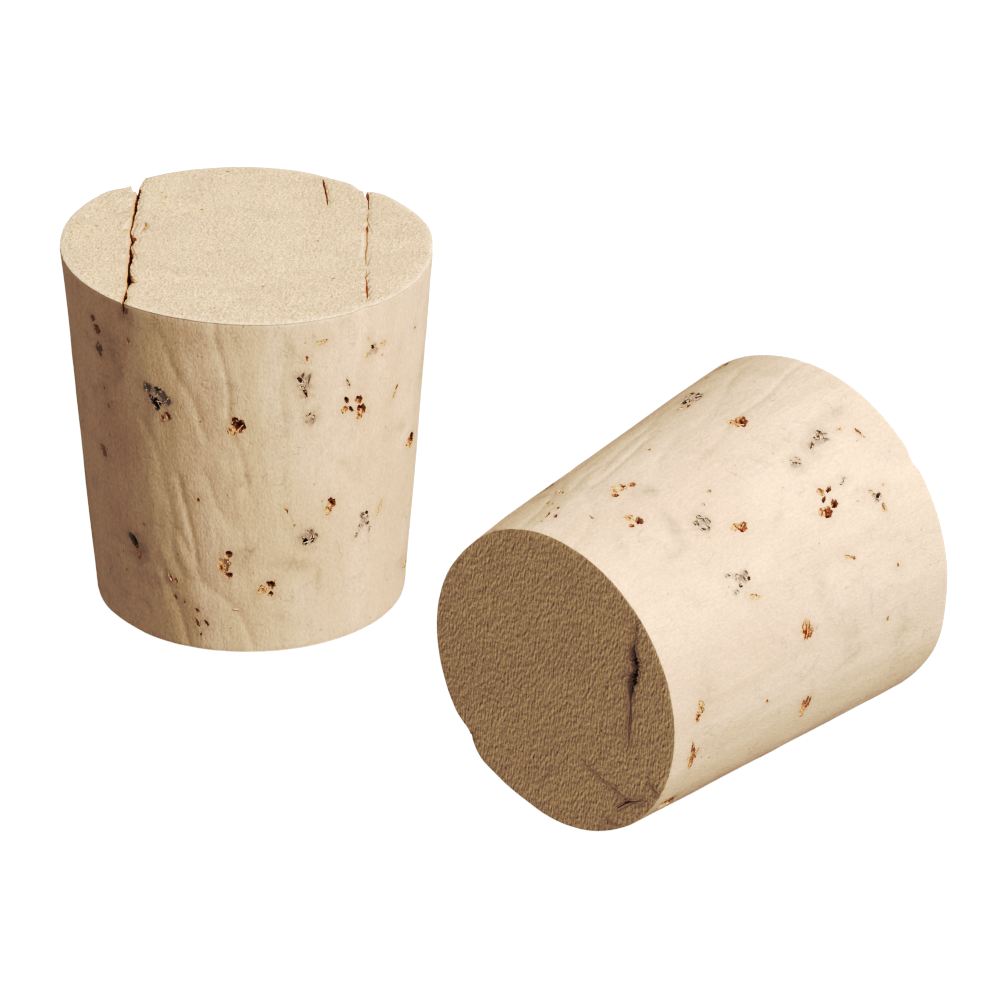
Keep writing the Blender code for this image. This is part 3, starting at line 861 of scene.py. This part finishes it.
# what the hollows and the torn fibres look like, from a grey pore (0) to a tan one (1)
LINING = [
    (0, (0.42, 0.32, 0.25)), (0.15, (0.46, 0.33, 0.24)), (0.33, (0.68, 0.41, 0.25)),
    (0.55, (0.69, 0.43, 0.26)), (0.85, (0.68, 0.46, 0.29)), (1, (0.7, 0.5, 0.32)),
]
POWDER = [
    (0, (0.085, 0.045, 0.032)), (0.15, (0.085, 0.034, 0.02)), (0.33, (0.26, 0.07, 0.026)),
    (0.55, (0.34, 0.115, 0.036)), (0.85, (0.52, 0.29, 0.12)), (1, (0.58, 0.36, 0.17)),
]
FIBRE = [
    (0, (0.72, 0.59, 0.47)), (0.25, (0.68, 0.5, 0.36)), (0.4, (0.66, 0.44, 0.28)), (1, (0.68, 0.48, 0.32)),
]
# near black for the deepest part of a hollow: partly the pores' own dark powder, partly painted shade
CORE_AND_DEEP_SHADE = (0.030, 0.012, 0.009)


def blend(amount, one, two):
    """Mixes two colours."""
    one, two = (value if isinstance(value, Wire) else (*value, 1.0) for value in (one, two))
    return amount.graph.node("ShaderNodeMix", {"data_type": "RGBA"}, {0: amount, 6: one, 7: two}, 2)


def between(value, low, high):
    """0 below low and 1 above high, with a smooth step in between."""
    return value.graph.node("ShaderNodeMapRange", {"interpolation_type": "SMOOTHSTEP"},
                            {"Value": value, "From Min": low, "From Max": high})


def ramp(value, stops):
    return value.graph.node("ShaderNodeValToRGB", {"stops": stops}, {0: value})


def hairlines(place, scale, width, distortion):
    """Thin wandering lines: where noise passes through its middle value."""
    wander = noise_at(place, scale, 3.0, distortion)
    return 1.0 - between(abs(wander - 0.5), 0.0, width)


def new_material(name, roughness, shine):
    """A new material, with its shader and a graph to write."""
    material = bpy.data.materials.new(name)
    material.use_nodes = True
    shader = material.node_tree.nodes["Principled BSDF"]
    shader.inputs["Roughness"].default_value = roughness
    shader.inputs["Specular IOR Level"].default_value = shine
    return material, shader, Graph(material.node_tree)


def kept(graph, name, output="Fac"):
    """A value that the geometry trees have left on the points."""
    return graph.node("ShaderNodeAttribute", {"attribute_name": name}, {}, output)


print("shader helpers ready")

# %% The side
def side_finish(bark, stain):
    """Colour and height of the sanded side."""
    cloud = noise_at(stretched(bark, 1.0, 1.0, 0.28), 0.28, 3.0, 0.8)
    mottle = noise_at(bark, 0.55, 4.0, 1.2)
    streak = noise_at(stretched(bark, 1.0, 1.0, 0.09), 5.0, 3.0)
    grain = noise_at(stretched(bark, 1.0, 1.0, 0.55), 8.0, 3.0)
    speck = between(noise_at(bark, 2.6, 1.0), 0.755, 0.80)
    lines = hairlines(bark, 0.35, 0.012, 1.5) * between(mottle, 0.52, 0.62)
    colour = blend(between(cloud, 0.36, 0.66), CREAM, WARM_CREAM)
    colour = blend(between(mottle, 0.52, 0.72) * 0.40, colour, ROSY_GREY)
    colour = scaled(colour, 0.70 + streak * 0.14 + grain * 0.46)
    colour = blend(lines * 0.16, colour, STAIN_GREY)
    colour = blend(speck * 0.7, colour, SPECK)
    broken = stain * (0.45 + 1.1 * between(noise_at(bark, 1.6, 4.0, 1.0), 0.35, 0.68))
    colour = blend(broken.math("MINIMUM", 1.0), colour, STAIN_GREY)
    return colour, streak * 0.010 + grain * 0.030 - lines * 0.015


# %% The sawn ends
ROUGHER_BELOW = 8.0
BAND_EVERY = 2.6


def end_finish(bark):
    """Colour and height of the sawn ends. The small end is left rough, with upright saw marks and painted
    light and shade on its torn fibres.
    """
    place = bark.graph.node("ShaderNodeSeparateXYZ", {}, {0: bark}, "Z")
    rough = 1.0 - between(place, ROUGHER_BELOW - 1.0, ROUGHER_BELOW + 1.0)
    sand = noise_at(bark, 7.5, 4.0)
    pits = noise_at(stretched(bark, 1.0, 0.55, 1.0), 4.2, 2.0, 0.4)
    # painted light and shade of the torn fibres: a noise minus the same noise moved over gives each fibre a
    # lit and a shaded flank
    fibre = stretched(bark, 1.0, 0.40, 1.0)
    moved = bark.graph.node("ShaderNodeVectorMath", {"operation": "ADD"}, {
        0: fibre, 1: (0.055, 0.025, 0.0)})
    painted_fibre_shading = (noise_at(fibre, 7.5, 4.0) - noise_at(moved, 7.5, 4.0)) * 1.9
    painted_fibre_shading = painted_fibre_shading + (noise_at(fibre, 2.2) - noise_at(moved, 2.2)) * 0.7
    marks = noise_at(stretched(bark, 1.0, 0.18, 1.0), 2.4, 2.0, 0.4)
    cloud = noise_at(bark, 0.30, 2.0, 0.5)
    wave = (place.output("Y") + noise_at(bark, 0.16) * 3.4) * (2 * pi / BAND_EVERY)
    band = between(wave.math("SINE"), 0.55, 1.0) * (1.0 - rough)
    colour = blend(between(cloud, 0.38, 0.64) * (0.6 - rough * 0.3), SAND, WARM_CREAM)
    colour = blend(band * 0.10, colour, DARK_SAND)
    colour = blend(rough * 0.14, colour, ROUGH_SAWN)
    tone = 1.0 + (sand - 0.5) * (1.25 - rough * 1.0) + (pits - 0.5) * (0.45 - rough * 0.20)
    # painted light and shade of the fibres, on the rough small end only
    colour = scaled(colour, tone + painted_fibre_shading * rough)
    colour = blend(between(pits, 0.66, 0.74) * 0.30, colour, DARK_SAND)
    wrinkle = hairlines(stretched(bark, 0.7, 1.0, 1.0), 0.55, 0.010, 0.8)
    colour = blend(wrinkle * rough * 0.22, colour, STAIN_GREY)
    colour = blend(between(noise_at(bark, 2.3, 1.0), 0.73, 0.79) * 0.8, colour, SPECK)
    return colour, sand * 0.13 + pits * 0.06 + marks * rough * 0.06


# %% Inside the pores and cracks
def hollow_finish(bark, deep, rust):
    """Colour of the hollows: bare lining near the lip, patches of powder further in, and a dark core,
    partly their own dark powder and partly painted shade that deepens with depth.
    """
    patchy = noise_at(bark, 2.9, 3.0, 0.9)
    crumbly = noise_at(bark, 8.5, 3.0, 0.4)
    powdery = between(patchy + (deep - 0.30) * 1.1 + (crumbly - 0.5) * 0.50, 0.45, 0.62)
    colour = scaled(blend(powdery, ramp(rust, LINING), ramp(rust, POWDER)), 0.62 + crumbly * 0.76)
    # darker with depth: partly dark powder, partly painted shade of the deep hollow; rusty pores get less
    # of it
    dark_core_and_shade = between(deep + (patchy - 0.5) * 0.6, 0.50, 1.05)
    return blend(dark_core_and_shade * (1.0 - rust * 0.6), colour, CORE_AND_DEEP_SHADE)


# %% Put the finish together
def cork_finish(name):
    material, shader, graph = new_material(name, 0.88, 0.25)
    bark = kept(graph, "bark", "Vector")
    sawn, deep, near, rust, stain, crumbs = (
        kept(graph, label) for label in ("sawn", "deep", "near", "rust", "stain", "crumbs"))
    side, side_height = side_finish(bark, stain)
    end, end_height = end_finish(bark)
    on_end = between(sawn, 0.25, 0.75)
    colour = blend(on_end, side, end)
    # pale fluff on the big end's edge
    edge_noise = noise_at(bark, 3.5, 3.0, 0.8)
    fringe = between(sawn, 0.02, 0.20) * (1.0 - between(sawn, 0.75, 0.98))
    fringe = fringe * between(graph.node("ShaderNodeSeparateXYZ", {}, {0: bark}, "Z"), 5.0, 15.0)
    colour = blend(fringe * edge_noise * 0.5, colour, PALE_SAND)
    # a rusty or dirty lip on the skin round every hollow
    lip = 1.0 - between(near + (edge_noise - 0.5) * 0.45, 0.0, 0.12)
    colour = blend(lip * (0.25 + crumbs * 0.5), colour, ramp(rust, LINING))
    halo = 1.0 - between(near + (edge_noise - 0.5) * 0.6, 0.05, 0.6)
    colour = blend(halo * 0.16, colour, STAIN_GREY)
    inside = between(deep, 0.015, 0.05)
    graph.feed(shader.inputs["Base Color"], blend(inside, colour, hollow_finish(bark, deep, rust)))
    height = side_height + (end_height - side_height) * on_end + inside * noise_at(bark, 7.0, 3.0) * 0.10
    graph.feed(shader.inputs["Normal"], graph.node("ShaderNodeBump", {}, {
        "Height": height, "Distance": MM, "Strength": 1.0}))
    print(name, "has", len(material.node_tree.nodes), "nodes")
    return material


natural_cork = cork_finish("natural_cork")

# %% [markdown]
# ## Crumbs
#
# The dark pores have pale torn fibres lying along their edges, and the rusty ones hold loose crumbs. They
# lie in the holes that the cutting has made, so they can't be cut from the same skin, and are a piece of
# their own. One lumpy ball is enough: Geometry Nodes put it in the crumbly pores again and again, each
# time drawn out to another length and turned.

# %% Where the crumbs are
CRUMBLY_FROM, LAST_CRUMBS_AT = 0.25, 112.0


def crumb_points(cork, pores, seed):
    """One vertex for each crumb, with its size and the rust of its pore."""
    dice = random.Random(seed)
    places, reach, lie, tint = [], [], [], []
    for angle, height, wide, tall, depth, slant, rusty, crumbly in pores:
        if crumbly < CRUMBLY_FROM or abs(angle) > LAST_CRUMBS_AT:
            continue
        tilt = radians(slant)
        for _ in range(round(2 + 9 * crumbly * max(wide, tall))):
            way, off = dice.uniform(0.0, 2 * pi), dice.uniform(0.35, 1.05) ** 0.7
            along = atan2(tall * cos(way), -wide * sin(way)) - tilt + dice.uniform(-0.7, 0.7)
            across, above = turned(off * wide / 2 * cos(way), off * tall / 2 * sin(way), tilt)
            sunk = dice.uniform(0.05, 0.13)
            places.append(on_side(cork, angle + degrees(across / PATTERN_R), height + above, -sunk * MM))
            long = dice.uniform(0.06, 0.10 + 0.16 * (1.0 - rusty)) * MM
            thin = dice.uniform(0.025, 0.045 + 0.03 * rusty) * MM
            reach.append((long, thin, thin))
            lie.append((dice.uniform(-0.3, 0.3), -along, radians(angle)))
            tint.append(min(1.0, max(0.0, rusty + dice.uniform(-0.1, 0.2))))
    return bare_points(cork["node"] + "_crumb_places", places, reach=reach, lie=lie, rust=tint)


# %% The crumb tree and finish
CRUMB_INPUTS = {"Fineness": "Int", "Raggedness": "Float", "Finish": "Material"}


def crumb_tree():
    graph, given = new_geometry_graph("loose_crumbs", CRUMB_INPUTS)
    ball = graph.shape("MeshIcoSphere", Radius=1.0, Subdivisions=given["Fineness"])
    fibres = graph.node("GeometryNodeInstanceOnPoints", {}, {
        "Points": given["Geometry"], "Instance": ball, "Rotation": named(graph, "lie", "FLOAT_VECTOR"),
        "Scale": named(graph, "reach", "FLOAT_VECTOR")})
    whole = graph.shape("RealizeInstances", Geometry=fibres)
    spot = graph.shape("InputPosition")
    bump = noise_at(stretched(spot, 9000.0, 9000.0, 9000.0), 1.0) - 0.5
    away = scaled(graph.shape("InputNormal"), bump * given["Raggedness"])
    ragged = graph.shape("SetPosition", Geometry=whole, Offset=away)
    marked = stored(ragged, "bark", bark_place(graph), "FLOAT_VECTOR")
    return end_geometry_graph(graph.shape("SetMaterial", Geometry=marked, Material=given["Finish"]))


def crumb_finish(name):
    """Torn fibres and crumbs, pale where the pore is grey and tan or red-brown where it is rusty."""
    material, shader, graph = new_material(name, 0.9, 0.25)
    rust = kept(graph, "rust")
    shade = noise_at(kept(graph, "bark", "Vector"), 5.0, 3.0)
    colour = blend(between(shade, 0.50, 0.64) * 0.3, ramp(rust, FIBRE), ramp(rust, POWDER))
    graph.feed(shader.inputs["Base Color"], colour)
    return material


loose_crumbs = crumb_tree()
torn_fibre = crumb_finish("torn_fibre")

# %% [markdown]
# ## Putting each cork together
#
# The skin goes through the cutting tree, the stains are painted on, and the cork is moved to its place.
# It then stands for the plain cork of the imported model, and rides on that cork's body.

# %% Make the corks
SHARP_FROM = radians(38.0)


def hold(mesh, cork):
    """Makes a mesh a shown piece that moves with its cork."""
    mesh.transform(cork["place"])
    piece = show(mesh.name, mesh)
    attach(piece, cork["node"])
    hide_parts(cork["node"])
    print(mesh.name, sum(len(face.vertices) - 2 for face in mesh.polygons), "triangles")
    return piece


def make_bark(cork):
    mesh = grow(cork["node"] + "_bark", cut_flaws, {
        "Pores": cork["pores"], "Blades": cork["blades"], "Raggedness": 1.5, "Finish": natural_cork},
        start=cork["skin"])
    paint_stains(cork, mesh)
    mesh.shade_smooth()
    mesh.set_sharp_from_angle(angle=SHARP_FROM)
    return hold(mesh, cork)


def make_crumbs(cork, seed):
    mesh = grow(cork["node"] + "_crumbs", loose_crumbs, {
        "Fineness": 2, "Raggedness": 0.05 * MM, "Finish": torn_fibre},
        start=crumb_points(cork, PORES, seed))
    mesh.shade_smooth()
    return hold(mesh, cork)


for cork in corks:
    cork["pieces"] = [make_bark(cork), make_crumbs(cork, 3)]

# %% Put the tools away
for cork in corks:
    for tool in [cork["creases"], cork["folds"], cork["pores"], *cork["blades"].objects]:
        bpy.data.objects.remove(tool, do_unlink=True)
    bpy.data.collections.remove(cork["blades"])

# %% [markdown]
# ## The stage
#
# The corks are on a bright white sheet, as on a light table, so they have hardly any shadow. Each has a
# large soft key light at the right and a weak fill in front, which the other cork doesn't shade. A light
# from above and a glow all round serve both.

# %% Floor
FLOOR_SIZE = 4.0


def make_floor():
    bpy.ops.mesh.primitive_plane_add(size=FLOOR_SIZE, location=(0.0, 0.0, -0.0002))
    floor = bpy.context.object
    floor.name = "white_sheet"
    material, shader, graph = new_material("white_sheet", 1.0, 0.0)
    graph.feed(shader.inputs["Base Color"], (0.30, 0.30, 0.30, 1.0))
    graph.feed(shader.inputs["Emission Color"], (1.0, 1.0, 1.0, 1.0))
    graph.feed(shader.inputs["Emission Strength"], 1.0)
    floor.data.materials.append(material)
    floor.visible_diffuse = False
    floor.visible_glossy = False
    return floor


print("floor", tuple(make_floor().dimensions))

# %% Lights
LIGHT_TARGET = Vector((0.012, -0.012, 0.012))
LIGHT_DISTANCE = 0.6
GLOW = 0.276
# name, azimuth and elevation of where it stands, size, power, and the one cork it lights, if it isn't both
LIGHTS = [
    ("key_standing_cork", 55.0, 33.0, 0.20, 3.0, standing),
    ("key_lying_cork", 55.0, 33.0, 0.20, 2.85, lying),
    ("top", 180.0, 80.0, 0.40, 1.2, None),
    ("fill_standing", 26.0, 8.0, 0.30, 0.285, standing),
    ("fill_lying", 0.0, 15.0, 0.15, 0.37, lying),
]


def soft_light(name, azimuth, elevation, size, power, cork):
    """A square light that shines at the corks, or at one cork with no shadow from the other."""
    azimuth, elevation = radians(azimuth), radians(elevation)
    way = Vector((sin(azimuth) * cos(elevation), -cos(azimuth) * cos(elevation),
                  sin(elevation)))
    data = bpy.data.lights.new(name, "AREA")
    data.shape = "SQUARE"
    data.size = size
    data.energy = power
    light = show(name, data)
    light.location = LIGHT_TARGET + way * LIGHT_DISTANCE
    light.rotation_euler = way.to_track_quat("Z", "Y").to_euler()
    if cork:
        alone = bpy.data.collections.new(name + "_lit")
        for piece in cork["pieces"]:
            alone.objects.link(piece)
        light.light_linking.receiver_collection = alone
        light.light_linking.blocker_collection = alone


for light in LIGHTS:
    soft_light(*light)

world = bpy.data.worlds.new("glow")
scene.world = world
world.use_nodes = True
background = world.node_tree.nodes["Background"]
background.inputs["Color"].default_value = (1.0, 1.0, 1.0, 1.0)
background.inputs["Strength"].default_value = GLOW
print("lights:", [name for name, *_ in LIGHTS])

# %% Camera
LENS, SENSOR = 238.4, 36.0
LOOK_DOWN = 26.08
ROLL = 0.18
DISTANCE = 0.3943
AIM = Vector((0.01486, 0.0, 0.00549))


def make_camera():
    data = bpy.data.cameras.new("camera")
    data.lens = LENS
    data.sensor_width = SENSOR
    data.clip_start = 0.01
    camera = show("camera", data)
    down = radians(LOOK_DOWN)
    back = Vector((0.0, -cos(down), sin(down)))
    turn = Matrix.Rotation(pi / 2 - down, 4, "X") @ Matrix.Rotation(radians(ROLL), 4, "Z")
    camera.matrix_world = Matrix.Translation(AIM + back * DISTANCE) @ turn
    scene.camera = camera
    return camera


camera = make_camera()
print("camera at", [round(value, 4) for value in camera.location])

# %% How the picture is developed
# deeper shadows, lifted middle tones and a soft shoulder, as printed pictures have
TONE_CURVE = [(0.11, 0.067), (0.21, 0.242), (0.37, 0.515), (0.53, 0.672), (0.70, 0.807)]
ALL_CHANNELS = 3
scene.view_settings.view_transform = "Standard"
scene.view_settings.use_curve_mapping = True
mapping = scene.view_settings.curve_mapping
for place, level in TONE_CURVE:
    mapping.curves[ALL_CHANNELS].points.new(place, level)
mapping.update()
print(len(TONE_CURVE), "points in the tone curve")
